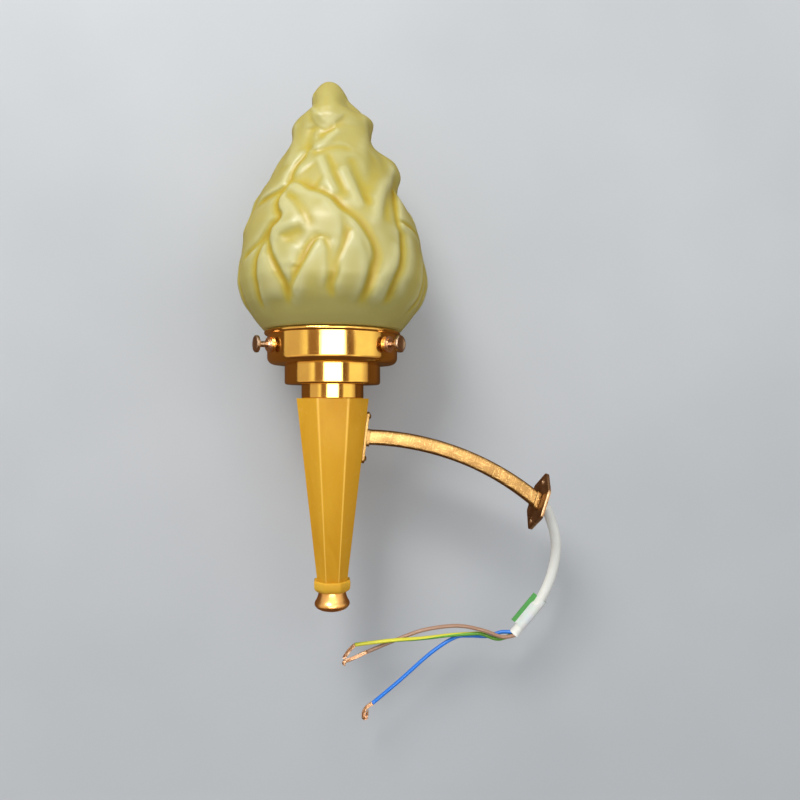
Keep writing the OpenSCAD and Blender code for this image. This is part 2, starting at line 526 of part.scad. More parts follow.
module neck_collar() color("#8a6a40") at_torch() tier(neck_d, neck_h - seat, 0.6);
module step_cup() color("#c89048") at_torch() translate([0, 0, step_z]) tier(step_d, step_h - seat, 1.6);
module gallery_cup() color("#e0aa52") at_torch() difference() {
  translate([0, 0, cup_z]) union() {
    tier(cup_d, cup_h - bead_d / 2, cup_round);
    rotate_extrude() translate([cup_d / 2 + bead_d / 2 - 0.7, cup_h - bead_d / 2]) circle(d = bead_d);
  }
  for (k = [-60, 60, 180]) rotate([0, 0, screw_turn + k]) translate([0, 0, screw_z]) rotate([0, 90, 0])
    cylinder(d = screw_d + 2 * screw_fit, h = cup_d);
}

module screw_bosses() color("#d69448") at_torch() difference() {
  for (k = [-60, 60, 180]) rotate([0, 0, screw_turn + k]) translate([cup_d / 2 - 2, 0, screw_z]) rotate([0, 90, 0]) {
    cylinder(d = boss_d, h = boss_l + 1);
    cylinder(d = boss_d - 2.6, h = boss_l + 2);
  }
  translate([0, 0, cup_z]) cylinder(d = cup_d + 2 * seat, h = cup_h, $fn = 128);
  for (k = [-60, 60, 180]) rotate([0, 0, screw_turn + k]) translate([0, 0, screw_z]) rotate([0, 90, 0])
    cylinder(d = screw_d + 2 * screw_fit, h = cup_d);
}

module shank(turn) color("#a58269") at_screw(turn) translate([0, 0, shank_in])
  cylinder(d = screw_d, h = head_in - seat - shank_in);
module shank_front_left() shank(-60);
module shank_front_right() shank(60);
module shank_back() shank(180);
module head(turn) color("#a58269") at_screw(turn) translate([0, 0, head_in]) rotate_extrude()
  polygon([[0, 0], [head_d / 2 - 0.4, 0], [head_d / 2, 0.4], [head_d / 2, head_t - 0.5], [head_d / 2 - 0.5, head_t],
    [head_d / 2 - 1.1, head_t], [head_d / 2 - 2.2, head_t - 0.4], [0, head_t - 0.4]]);
module head_front_left() head(-60);
module head_front_right() head(60);
module head_back() head(180);

module earth_tag() color("#c9a24c") at_torch() translate([0, 0, tag_z]) difference() {
  union() {
    cylinder(d = 16, h = tag_t);
    translate([-3, 0, 0]) cube([6, 16, tag_t]);
  }
  translate([0, 0, -over]) cylinder(d = tube_d + 2 * loose, h = tag_t + 2 * over);
  translate([0, 12.5, -over]) cylinder(d = 3.4, h = tag_t + 2 * over);
}
module gallery_washer() color("#b9b4a8") at_torch() translate([0, 0, washer_z]) difference() {
  cylinder(d = washer_d, h = washer_t);
  translate([0, 0, -over]) cylinder(d = tube_d + 2 * loose, h = washer_t + 2 * over);
}
module gallery_nut() color("#c2a25c") at_torch() translate([0, 0, nut_z]) difference() {
  cylinder(d = nut_flat / cos(30), h = nut_h, $fn = 6);
  translate([0, 0, -over]) cylinder(d = tube_d + 2 * seat, h = nut_h + 2 * over);
}

core_z = skirt_z + 1;
core_h = skirt_l - shell_l - 3;
shell_z = core_z + core_h + seat;
shell_t = 0.5;
module holder_cap() color("#e8e4da") at_torch() translate([0, 0, cap_z]) difference() {
  rotate_extrude() polygon([[0, 0], [9, 0], [skirt_d / 2 - 3, 5], [skirt_d / 2 - 0.5, 10], [skirt_d / 2, cap_h],
    [skirt_d / 2 - skirt_t, cap_h], [skirt_d / 2 - skirt_t - 0.6, 10.4], [skirt_d / 2 - skirt_t - 3, 6.4], [8, 1.6],
    [8, tube_grip + 1.6], [0, tube_grip + 1.6]]);
  translate([0, 0, -over]) cylinder(d = tube_d + 2 * seat, h = tube_grip + 1.6 + 2 * over);
}
module holder_skirt() color("#e8e4da") at_torch() translate([0, 0, skirt_z]) difference() {
  cylinder(d = skirt_d, h = skirt_l);
  translate([0, 0, -over]) cylinder(d = skirt_d - 2 * skirt_t, h = skirt_l - skirt_t + over);
  cylinder(d = shell_d + 2 * shell_t + 2 * seat, h = skirt_l + over);
}
module holder_core() color("#f2efe6") at_torch() translate([0, 0, core_z]) difference() {
  cylinder(d = skirt_d - 2 * skirt_t - 2 * seat, h = core_h);
  for (s = [-1, 1]) translate([s * skirt_d / 4, 0, -over]) cylinder(d = 3, h = 4 + over);
}
module screw_shell() color("#c9a24c") at_torch() translate([0, 0, shell_z]) difference() {
  cylinder(d = shell_d + 2 * shell_t, h = shell_l);
  translate([0, 0, -over]) cylinder(d = shell_d, h = shell_l + 2 * over);
}
module centre_contact() color("#c9a24c") at_torch() translate([0, 0, shell_z]) {
  cylinder(d = 9, h = 0.8);
  cylinder(d = 5, h = 2);
}
contact_w = 5;      // width of the side contact
terminal_d = 5;     // diameter of the terminal screws' heads
module side_contact() color("#c9a24c") at_torch()
  translate([-contact_w / 2, shell_d / 2 + shell_t + seat, shell_z]) cube([contact_w, 0.6, 1.6 * contact_w]);
module terminal_screws() color("#c2b68a") at_torch()
  for (s = [-1, 1]) translate([s * skirt_d / 4, 0, core_z - 2.2]) {
    cylinder(d = terminal_d, h = 2.15);
    translate([0, 0, 1]) cylinder(d = 2.9, h = 4.8);
  }
module inner_cores() for (k = [0 : 2])
  color(["#7a4a24", "#2060c0", "#88b030"][k]) at_torch() rotate([0, 0, 30 + k * core_angle])
    translate([core_out, 0, -bracket_drop - 3]) cylinder(d = core_d - 0.2, h = core_z + bracket_drop + 3 - loose, $fn = 24);

module flame_shade() color("#cdc378") at_torch() rotate([0, 0, flame_turn]) difference() {
  ring_stack(concat(
    [for (p = [[glass_lip / 2 - lip_edge, glass_foot], [glass_lip / 2, glass_foot + lip_edge], [glass_lip / 2, glass_foot + lip_h],
      [glass_neck / 2, glass_foot + lip_h + 1], [glass_neck / 2, neck_top], [glass_neck / 2 + 1.5, rim_z - 0.2]])
      [for (k = [0 : flame_sides - 1]) let (a = 360 * k / flame_sides) [p[0] * cos(a), p[0] * sin(a), p[1]]]],
    [for (h = flame_rings) flame_ring(h)]), [0, -2.2 * wide, rim_z + flame_h]);
  ring_stack(concat(
    [for (z = [glass_foot - over, neck_top]) [for (k = [0 : 35]) (glass_neck / 2 - glass_t) * [cos(10 * k), sin(10 * k), 0] + [0, 0, z]]],
    [for (h = cavity_rings) [for (k = [0 : 35]) let (r = (lookup(h, core_line) - 5) * wide - glass_t)
      [r * cos(10 * k), r * sin(10 * k), flame_foot + h * high]]]), [0, 0, flame_foot + 153 * high]);
}

module lead_sheath() color("#ebebe1") tube_along(curve(lead_route, 2), lead_d, 12);
module lead_label() color("#78c478") translate(lead_end - label_up * lead_dir) multmatrix([
    [cross(lead_side_dir, lead_dir)[0], lead_side_dir[0], -lead_dir[0], 0],
    [cross(lead_side_dir, lead_dir)[1], lead_side_dir[1], -lead_dir[1], 0],
    [cross(lead_side_dir, lead_dir)[2], lead_side_dir[2], -lead_dir[2], 0], [0, 0, 0, 1]]) difference() {
  union() {
    cylinder(d = lead_d + 0.8, h = label_l);
    translate([0, 0, 0]) cube([0.5, lead_d / 2 + label_w, label_l]);
  }
  translate([0, 0, -over]) cylinder(d = lead_d + 0.5, h = label_l + 2 * over);
}
module core_brown() color("#aa785f") tube_along(curve(brown_route, 2), core_d, 8);
module core_blue() color("#2878e1") tube_along(curve(blue_route, 2), core_d, 8);
module core_earth() color("#6eb43c") tube_along(curve(earth_route, 2), core_d, 8);
module wire_brown() color("#c87d4b") tube_along(curve(brown_bare, 2), wire_d, 8);
module wire_blue() color("#c87d4b") tube_along(curve(blue_bare, 2), wire_d, 8);
module wire_earth() color("#c87d4b") tube_along(curve(earth_bare, 2), wire_d, 8);

wall_plate();
plate_ferrule();
arm_tube();
arm_lead();
arm_bracket();
bracket_screws();
torch_handle();
foot_collar();
finial_knob();
centre_tube();
neck_collar();
step_cup();
gallery_cup();
screw_bosses();
earth_tag();
gallery_washer();
gallery_nut();
holder_cap();
holder_skirt();
holder_core();
screw_shell();
centre_contact();
side_contact();
terminal_screws();
inner_cores();
flame_shade();
shank_front_left();
shank_front_right();
shank_back();
head_front_left();
head_front_right();
head_back();
lead_sheath();
lead_label();
core_brown();
core_blue();
core_earth();
wire_brown();
wire_blue();
wire_earth();
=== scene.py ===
import math

import bmesh
import bpy
import numpy as np
from mathutils import Matrix, Vector


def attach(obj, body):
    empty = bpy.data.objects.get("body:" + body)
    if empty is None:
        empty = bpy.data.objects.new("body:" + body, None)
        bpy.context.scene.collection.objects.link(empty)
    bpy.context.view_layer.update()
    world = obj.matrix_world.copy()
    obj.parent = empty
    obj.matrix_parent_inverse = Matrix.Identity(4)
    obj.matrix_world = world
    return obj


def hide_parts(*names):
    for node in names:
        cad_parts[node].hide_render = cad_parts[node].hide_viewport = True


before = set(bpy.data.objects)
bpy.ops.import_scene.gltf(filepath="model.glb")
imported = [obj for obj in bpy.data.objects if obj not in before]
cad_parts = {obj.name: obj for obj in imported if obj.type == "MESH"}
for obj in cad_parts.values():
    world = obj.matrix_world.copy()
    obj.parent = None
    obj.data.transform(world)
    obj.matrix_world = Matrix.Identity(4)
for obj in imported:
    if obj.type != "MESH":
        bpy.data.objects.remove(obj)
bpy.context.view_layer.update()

bpy.ops.object.select_all(action="DESELECT")

# ---------------------------------------------------------------------------
# Camera. It stands level with the top of the handle, square to the torch's side,
# and is rolled so that the torch stands upright in the picture.
camera_place = (0.463372, -0.159072, 0.018391)
camera_right = (0.10682882, 0.94510215, 0.30881956)
camera_up = (0.00498047, -0.31110174, 0.95036356)
camera_back = (0.99426495, -0.09998815, -0.03794169)
camera_data = bpy.data.cameras.new("camera")
camera_data.sensor_width = 36.0
camera_data.lens = 31.5
camera_data.clip_start = 0.01
camera = bpy.data.objects.new("camera", camera_data)
bpy.context.scene.collection.objects.link(camera)
camera.matrix_world = Matrix((
    (camera_right[0], camera_up[0], camera_back[0], camera_place[0]),
    (camera_right[1], camera_up[1], camera_back[1], camera_place[1]),
    (camera_right[2], camera_up[2], camera_back[2], camera_place[2]),
    (0, 0, 0, 1)))
bpy.context.scene.camera = camera


# ---------------------------------------------------------------------------
# Lead. A round white three-core mains lead, 6.8 mm, that comes out of the arm
# behind the wall plate, bends down and is cut off and stripped below.
lead_points = [(0, 2.656, -1.954), (0, 6.278, -3.531), (-4, 13, -10.5), (-8, 20, -19), (-12, 25.5, -29.5),
               (-16, 29, -43), (-20, 30, -58), (-23, 27, -75.5), (-25.5, 19.4, -96)]
lead_diameter = 0.0068


def smooth_route(points, pieces):
    """A smooth curve through points in millimetres, returned in metres."""
    p = [Vector(q) / 1000 for q in points]
    route = []
    for i in range(len(p) - 1):
        before, here, there, after = p[max(i - 1, 0)], p[i], p[i + 1], p[min(i + 2, len(p) - 1)]
        for k in range(pieces):
            t = k / pieces
            slope = (there - before) * t
            bend = (2 * before - 5 * here + 4 * there - after) * t * t
            curl = (3 * here - before - 3 * there + after) * t ** 3
            route.append(0.5 * (2 * here + slope + bend + curl))
    return route + [p[-1]]


def drawn_tube(name, route, radius, sides, end_ring=0.0):
    """A closed tube along a route, with u round it and v along it in metres."""
    build = bmesh.new()
    uv = build.loops.layers.uv.new("UVMap")
    turns = [2 * math.pi * k / sides for k in range(sides)]
    side = Vector((1, 0, 0))
    rings = []
    for i, p in enumerate(route):
        a, b = route[max(i - 1, 0)], route[min(i + 1, len(route) - 1)]
        along = (b - a).normalized()
        side = (side - side.dot(along) * along).normalized()
        over = along.cross(side)
        rings.append([build.verts.new(p + radius * (math.cos(t) * side + math.sin(t) * over)) for t in turns])
    run = 0.0
    for i in range(len(rings) - 1):
        step = (route[i + 1] - route[i]).length
        for k in range(sides):
            j = (k + 1) % sides
            face = build.faces.new((rings[i][k], rings[i][j], rings[i + 1][j], rings[i + 1][k]))
            face.smooth = True
            corners = ((k, run), (k + 1, run), (k + 1, run + step), (k, run + step))
            for loop, (u, v) in zip(face.loops, corners):
                loop[uv].uv = (u / sides, v)
        run += step
    build.faces.new(list(reversed(rings[0])))
    build.faces.new(rings[-1])
    if end_ring:
        build.faces.ensure_lookup_table()
        bmesh.ops.inset_individual(build, faces=[build.faces[-1]], thickness=end_ring)
    bmesh.ops.recalc_face_normals(build, faces=build.faces)
    mesh = bpy.data.meshes.new(name)
    build.to_mesh(mesh)
    build.free()
    tube = bpy.data.objects.new(name, mesh)
    bpy.context.scene.collection.objects.link(tube)
    return tube


def node_tools(tree):
    """Short ways to add a shader node to a tree and to join two of its nodes."""
    def add(kind, **settings):
        node = tree.nodes.new("ShaderNode" + kind)
        for key, value in settings.items():
            if key.startswith("in_"):
                key = key[3:].replace("_", " ")
                node.inputs[int(key) if key.isdigit() else key].default_value = value
            else:
                setattr(node, key, value)
        return node

    def join(a, b, out=0, into=0):
        tree.links.new(a.outputs[out], b.inputs[into])

    return add, join


def new_finish(name, **settings):
    """A material, its shader with these settings, and the tools to add nodes to it."""
    finish = bpy.data.materials.new(name)
    finish.use_nodes = True
    shader = finish.node_tree.nodes["Principled BSDF"]
    for key, value in settings.items():
        shader.inputs[key.replace("_", " ")].default_value = value
    return (finish, shader, *node_tools(finish.node_tree))


def ramp_of(node, stops):
    """Sets a colour ramp's stops: (place, grey or colour)."""
    ramp = node.color_ramp
    while len(ramp.elements) > 1:
        ramp.elements.remove(ramp.elements[-1])
    for i, (place, colour) in enumerate(stops):
        element = ramp.elements[0] if i == 0 else ramp.elements.new(place)
        element.position = place
        element.color = (colour, colour, colour, 1) if isinstance(colour, (int, float)) else (*colour, 1)
    return node


def plastic(name, colour, rough=0.38, grime=(0.8, 0.78, 0.7), stripe=None):
    """Drawn plastic: a little grime in patches, fine die lines, and a winding stripe where it has one."""
    finish, shader, add, join = new_finish(name, Roughness=rough, IOR=1.5)
    place = add("TexCoord")
    cloud = add("TexNoise", in_Scale=55.0, in_Detail=5.0)
    join(place, cloud, "Object", "Vector")
    share = ramp_of(add("ValToRGB"), [(0.42, 0.0), (0.8, 0.5)])
    join(cloud, share, "Fac", "Fac")
    tint = add("Mix", data_type="RGBA", blend_type="MULTIPLY", in_6=(*colour, 1), in_7=(*grime, 1))
    join(share, tint)
    join(tint, shader, 2, "Base Color")
    if stripe:
        turns_per_metre = 4.5
        half_width = 0.2
        wrap = add("UVMap")
        split = add("SeparateXYZ")
        winding = add("Math", operation="MULTIPLY_ADD", in_1=turns_per_metre)
        round_it = add("Math", operation="FRACT")
        on_stripe = add("Math", operation="COMPARE", in_1=0.5, in_2=half_width)
        two_colours = add("Mix", data_type="RGBA", in_6=(*colour, 1), in_7=(*stripe, 1))
        join(wrap, split)
        join(split, winding, "Y", 0)
        join(split, winding, "X", 2)
        join(winding, round_it)
        join(round_it, on_stripe)
        join(on_stripe, two_colours)
        join(two_colours, tint, 2, 6)
    lines = add("TexNoise", in_Scale=900.0, in_Detail=2.0)
    join(place, lines, "Object", "Vector")
    bump = add("Bump", in_Strength=0.15, in_Distance=0.0002)
    join(lines, bump, "Fac", "Height")
    join(bump, shader, "Normal", "Normal")
    return finish


lead_route = smooth_route(lead_points, 6)
lead = drawn_tube("lead", lead_route, lead_diameter / 2, sides=32, end_ring=0.0009)
lead_white = plastic("lead_white", (0.93, 0.92, 0.85))
lead.data.materials.append(lead_white)
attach(lead, "sconce")
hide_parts("lead_sheath")


# ---------------------------------------------------------------------------
# Label. A vinyl wrap round the lead near its end, with its two halves stuck
# together as a flag: white, with a green outer edge. It is left bare.
label_white, label_green = (0.88, 0.89, 0.86, 1), (0.11, 0.43, 0.10, 1)
label_end = 0.007
lead_way = (lead_route[-1] - lead_route[-7]).normalized()
lead_side = lead_way.cross(Vector((1, 0, 0))).normalized()
lead_axes = Matrix((lead_way.cross(lead_side), lead_side, -lead_way)).transposed()
label_finish, shader, add, join = new_finish("label_paper", Roughness=0.42)
place = add("TexCoord")
on_flag = add("Mapping", vector_type="TEXTURE", in_Location=lead_route[-1] - label_end * lead_way,
              in_Rotation=lead_axes.to_euler())
join(place, on_flag, "Object", "Vector")
parts = add("SeparateXYZ")
join(on_flag, parts)
# the green starts 4.9 mm out from the lead's middle, and 3 mm out at the label's upper end
edge = add("MapRange", in_1=0.018, in_2=0.025, in_3=0.0049, in_4=0.003)
join(parts, edge, "Z", 0)
green = add("Math", operation="GREATER_THAN")
join(parts, green, "Y", 0)
join(edge, green, 0, 1)
band = add("Mix", data_type="RGBA", in_6=label_white, in_7=label_green)
join(green, band)
soil = add("TexNoise", in_Scale=160.0, in_Detail=4.0)
join(place, soil, "Object", "Vector")
worn = add("Mix", data_type="RGBA", blend_type="MULTIPLY", in_0=0.25)
join(band, worn, 2, 6)
join(soil, worn, "Color", 7)
join(worn, shader, 2, "Base Color")
lead_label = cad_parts["lead_label"]
lead_label.data.materials.clear()
lead_label.data.materials.append(label_finish)


# ---------------------------------------------------------------------------
# Cores. Brown, blue and green-and-yellow insulation, 2.6 mm, fanned out below
# the stripped sheath, each with its copper strands bare and twisted at the end.
core_diameter = 0.0026
# each core's route in millimetres: its insulated length, then its bare strands
core_routes = {
    "brown": ([(-23.951, 20.182, -96.479), (-23, 11, -100), (-22.5, -4, -99.3), (-23.5, -22, -101.6),
               (-25, -42, -110.5), (-27, -57, -121.6), (-27, -77, -137.6)],
              [(-27, -77, -137.6), (-27, -83, -142.8), (-27, -87, -146), (-26.5, -89.5, -147.5),
               (-26.2, -90.6, -149.4), (-26.4, -89, -150)]),
    "blue": ([(-25.5, 17.712, -95.374), (-28, 11, -98.2), (-29.5, 3, -104), (-29, -10, -107.3),
              (-28.6, -20, -111.4), (-28, -33, -126), (-28, -49, -151.5), (-28, -62, -171)],
             [(-28, -62, -171), (-28, -65.2, -175), (-28, -66, -179), (-28, -64.7, -182.5),
              (-28.6, -63, -180.8), (-28.6, -63.8, -177)]),
    "earth": ([(-27.049, 20.305, -96.147), (-26.3, 10, -103), (-26, -3, -102.8), (-26.2, -11, -105.2),
               (-26, -24, -109.8), (-24.5, -44, -117.5), (-24, -64, -124.6), (-25, -87, -134.6)],
              [(-25, -87, -134.6), (-25.5, -89.6, -139.5), (-26, -91, -144), (-26.3, -91.8, -146)]),
}
core_colours = {"brown": (0.44, 0.25, 0.16), "blue": (0.02, 0.22, 0.82), "earth": (0.15, 0.42, 0.04)}
core_stripes = {"earth": (0.80, 0.76, 0.05)}
strand_radius = 0.0003
strands_inside, inside_ring = 4, 0.0004
strands_outside, outside_ring = 9, 0.00105

copper, shader, add, join = new_finish("copper", Metallic=1.0, Roughness=0.32)
place = add("TexCoord")
spots = add("TexNoise", in_Scale=500.0, in_Detail=3.0)
join(place, spots, "Object", "Vector")
tones = ramp_of(add("ValToRGB"), [(0.3, (0.62, 0.33, 0.17)), (0.7, (0.92, 0.62, 0.40))])
join(spots, tones, "Fac", "Fac")
join(tones, shader, "Color", "Base Color")


def bare_strand(line, number):
    """One copper strand, twisted loosely round a bundle's line and frayed towards the tip."""
    if number < strands_inside:
        out = inside_ring
        start = 2 * math.pi * number / strands_inside
    else:
        out = outside_ring
        start = 2 * math.pi * (number - strands_inside) / strands_outside + 0.35
    twist = 2.8 + 0.5 * math.sin(number)
    path = []
    for i, p in enumerate(line):
        t = i / (len(line) - 1)
        along = (line[min(i + 1, len(line) - 1)] - line[max(i - 1, 0)]).normalized()
        across = (Vector((1, 0, 0)) - along.x * along).normalized()
        over = along.cross(across)
        fray = 1 + 1.1 * t * t * math.sin(2.4 * number)
        a = start + twist * t
        path.append(p + out * fray * (math.cos(a) * across + math.sin(a) * over))
    cut_short = 3 * (number * 5 % 4)
    return drawn_tube("strand", path[:len(path) - cut_short], strand_radius, sides=6)


for name, (covered, bare) in core_routes.items():
    route = smooth_route(covered, 6)
    core = drawn_tube("core_" + name + "_run", route, core_diameter / 2, sides=20, end_ring=0.0003)
    core.data.materials.append(plastic("core_" + name, core_colours[name], rough=0.34,
                                       grime=(0.75, 0.72, 0.68), stripe=core_stripes.get(name)))
    line = smooth_route(bare, 8)
    strands = [bare_strand(line, number) for number in range(strands_inside + strands_outside)]
    wire = strands[0]
    with bpy.context.temp_override(active_object=wire, selected_editable_objects=strands,
                                   selected_objects=strands):
        bpy.ops.object.join()
    wire.name = "strands_" + name
    wire.data.materials.append(copper)
    for piece, node in ((core, "core_" + name), (wire, "wire_" + name)):
        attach(piece, "sconce")
        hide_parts(node)


# ---------------------------------------------------------------------------
# Surface and light. The wall light lies on a pale sheet under soft boxes, and
# polished metal mirrors a bright window, warm walls and a dim floor.
torch_place = (0, -0.1552263, 0.0231528)
torch_lean = math.radians(18)
sheet_side = -0.0632
bpy.ops.mesh.primitive_plane_add(size=4.0, location=(sheet_side, 0, 0), rotation=(0, math.radians(90), 0))
sheet = bpy.context.object
sheet.name = "surface"
sheet_finish, shader, add, join = new_finish("pale_sheet", Roughness=0.85, Specular_IOR_Level=0.1)
place = add("TexCoord")
cloud = add("TexNoise", in_Scale=4.0, in_Detail=3.0)
join(place, cloud, "Object", "Vector")
tones = ramp_of(add("ValToRGB"), [(0.3, (0.525, 0.537, 0.548)), (0.7, (0.585, 0.595, 0.604))])
join(cloud, tones, "Fac", "Fac")
join(tones, shader, "Color", "Base Color")
# in metal the sheet shows as a painted reflection, warm and dim as if in shade, and from behind the sheet is
# clear
dim_painted_reflection = add("BsdfDiffuse", in_Color=(0.16, 0.085, 0.04, 1))
rays = add("LightPath")
front = add("MixShader")
join(rays, front, "Is Glossy Ray", 0)
join(shader, front, 0, 1)
join(dim_painted_reflection, front, 0, 2)
clear = add("BsdfTransparent")
facing = add("NewGeometry")
either = add("MixShader")
join(facing, either, "Backfacing", 0)
join(front, either, 0, 1)
join(clear, either, 0, 2)
join(either, sheet_finish.node_tree.nodes["Material Output"])
sheet.data.materials.append(sheet_finish)


def soft_box(name, place, aim, width, height, power):
    data = bpy.data.lights.new(name, "AREA")
    data.shape = "RECTANGLE"
    data.size = width
    data.size_y = height
    data.energy = power
    box = bpy.data.objects.new(name, data)
    bpy.context.scene.collection.objects.link(box)
    box.location = place
    box.rotation_euler = (Vector(aim) - Vector(place)).to_track_quat("-Z", "Y").to_euler()
    return box


soft_box("key", (0.85, -0.85, 0.75), (0, -0.15, 0.05), 0.5, 0.5, 11.6)
soft_box("fill", (1.0, 0.1, 0.7), (0, -0.15, 0.05), 0.9, 0.6, 2.7)

world = bpy.data.worlds.new("room")
world.use_nodes = True
bpy.context.scene.world = world
for node in list(world.node_tree.nodes):
    world.node_tree.nodes.remove(node)
add, join = node_tools(world.node_tree)


def mirrored_walls(stops):
    """What metal mirrors, by bearing round the torch in degrees: 0 is straight in front of it."""
    return ramp_of(add("ValToRGB"), [(0.5 + bearing / 360, colour) for bearing, colour in stops])


window, cream = (8.0, 8.0, 8.0), (1.5, 1.25, 0.85)
sunny, golden = (1.2, 1.15, 0.8), (0.72, 0.62, 0.46)
tan, brown, dim = (0.95, 0.75, 0.55), (0.34, 0.21, 0.13), (0.12, 0.06, 0.035)
eye_level = mirrored_walls([
    (-180, dim), (-125, brown), (-108, tan), (-92, golden), (-60, golden), (-50, sunny), (-45, sunny),
    (-42, brown), (-23, brown), (-19, window), (19, window), (22, dim), (36, brown), (40, sunny), (70, sunny),
    (84, golden), (96, brown), (104, dim), (180, dim)])
below_eye = mirrored_walls([
    (-180, dim), (-100, golden), (-60, tan), (-32, golden), (-20, cream), (6, cream), (14, tan), (30, golden),
    (44, cream), (56, golden), (100, brown), (180, dim)])
look = add("TexCoord")
level = add("Mapping", vector_type="TEXTURE", in_Rotation=(torch_lean, 0, 0))
split = add("SeparateXYZ")
bearing = add("Math", operation="ARCTAN2")
around = add("MapRange", in_1=-math.pi, in_2=math.pi)
join(look, level, "Generated", 0)
join(level, split)
join(split, bearing, "Y", 0)
join(split, bearing, "X", 1)
join(bearing, around)
join(around, eye_level)
join(around, below_eye)


def by_height(low, top, under, over):
    """One colour under a height and another over it, as sines of the height's angle."""
    share = add("MapRange", in_1=low, in_2=top)
    blend = add("Mix", data_type="RGBA")
    join(split, share, "Z", 0)
    join(share, blend)
    for into, colour in ((6, under), (7, over)):
        if isinstance(colour, tuple):
            blend.inputs[into].default_value = (*colour, 1)
        else:
            join(colour, blend, 2 if colour.bl_idname == "ShaderNodeMix" else 0, into)
    return blend


floor_up = by_height(-0.50, -0.34, dim, below_eye)
walls_up = by_height(-0.17, -0.08, floor_up, eye_level)
mirror = by_height(0.13, 0.20, walls_up, (0.78, 0.74, 0.66))
seen = add("Background", in_Color=(0.78, 0.79, 0.80, 1), in_Strength=1.0)
soft = add("Background", in_Color=(0.93, 0.96, 1.0, 1), in_Strength=0.52)
shone = add("Background", in_Strength=1.0)
join(mirror, shone, 2, 0)
rays = add("LightPath")
lit = add("MixShader")
join(rays, lit, "Is Glossy Ray", 0)
join(soft, lit, 0, 1)
join(shone, lit, 0, 2)
pictured = add("MixShader")
join(rays, pictured, "Is Camera Ray", 0)
join(lit, pictured, 0, 1)
join(seen, pictured, 0, 2)
join(pictured, add("OutputWorld"))
bpy.context.scene.view_settings.view_transform = "Standard"


# ---------------------------------------------------------------------------
# Flame. Pressed glass, 3 mm, satin outside: leaves that lap over one another
# round a hollow body, with a plain neck and lip that sit inside the gallery.
in_torch = Matrix.Translation(torch_place) @ Matrix.Rotation(torch_lean, 4, "X")
rim_height = 43.7
# In these tables an angle goes round the torch in degrees, 0 towards +X, and a height goes up from the
# rim in millimetres. First the body: height and reach.
core_line = [
    (0, 45.3), (5, 49.5), (10, 53), (16, 57), (22, 59.4), (30, 61), (40, 60.2), (52, 58.4), (61, 57),
    (68, 54.3), (74, 51.3), (80, 48), (86, 45), (92, 42), (98, 39), (104, 36), (110, 33), (116, 30),
    (121, 27.5), (126, 26), (132, 24.6), (137, 21.3), (140, 18), (143, 13.4), (147, 11.6), (150, 11.8),
    (153, 11.7), (157, 9.9), (160, 8), (163, 4.9), (165, 0.3),
]
# swellings that give the outline its shoulders and curls: angle, height, half width, then how far up
# and how far down they reach, and their rise
swells = [
    (-88, 134.5, 13, 6, 8, 1.8), (-95, 105, 15, 10, 11, 2.8), (-95, 87, 16, 8, 12, 4.6),
    (-95, 68, 16, 8, 10, 1.4), (85, 142.5, 13, 7, 9, 7.6), (92, 122, 12, 5, 6, -2.2),
    (92, 109.5, 14, 8, 13, 9.6), (92, 86, 12, 4.5, 5, -2.4), (95, 76, 12, 5, 8, 2.2),
    (80, 28, 20, 16, 16, 1.2), (38, 130, 12, 9, 12, 1.4),
]
